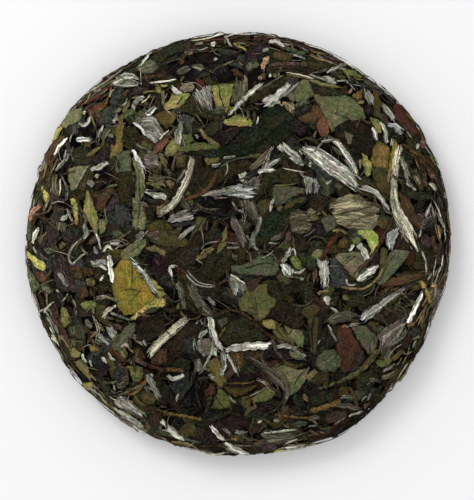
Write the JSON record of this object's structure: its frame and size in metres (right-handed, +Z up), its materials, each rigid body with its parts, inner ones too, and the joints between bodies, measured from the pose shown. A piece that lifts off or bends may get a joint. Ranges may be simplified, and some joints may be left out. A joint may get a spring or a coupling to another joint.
{
  "type": "white peony tea cake",
  "caption": "Round pressed cake of loose-leaf white tea with a domed face, rounded rim, flat foot and shallow dimple, its whole leaves, downy buds and stems showing all over.",
  "frame": {"origin": "centre of the flat foot that the cake rests on, at the bottom of its bounding box", "axes": "+Z up out of the domed face, +Y towards the top of the picture, +X to its right"},
  "size_m": [0.2004, 0.2012, 0.0279],
  "materials": {
    "leaf_dark": "dry matt leaf with a slight waxy sheen, dark olive to black-brown",
    "leaf_green": "dry matt leaf, sage to mid green with a paler midrib",
    "leaf_brown": "dry matt leaf, ochre to red-brown",
    "leaf_silver": "leaf back with fine silver hairs lying along it",
    "bud": "bud with dense white down",
    "stem": "dry stem, brown to mauve-brown",
    "core": "dark pressed tea seen in the gaps"
  },
  "bodies": {
    "root": {"tea_cake": "leaf_dark"}
  },
  "joints": []
}
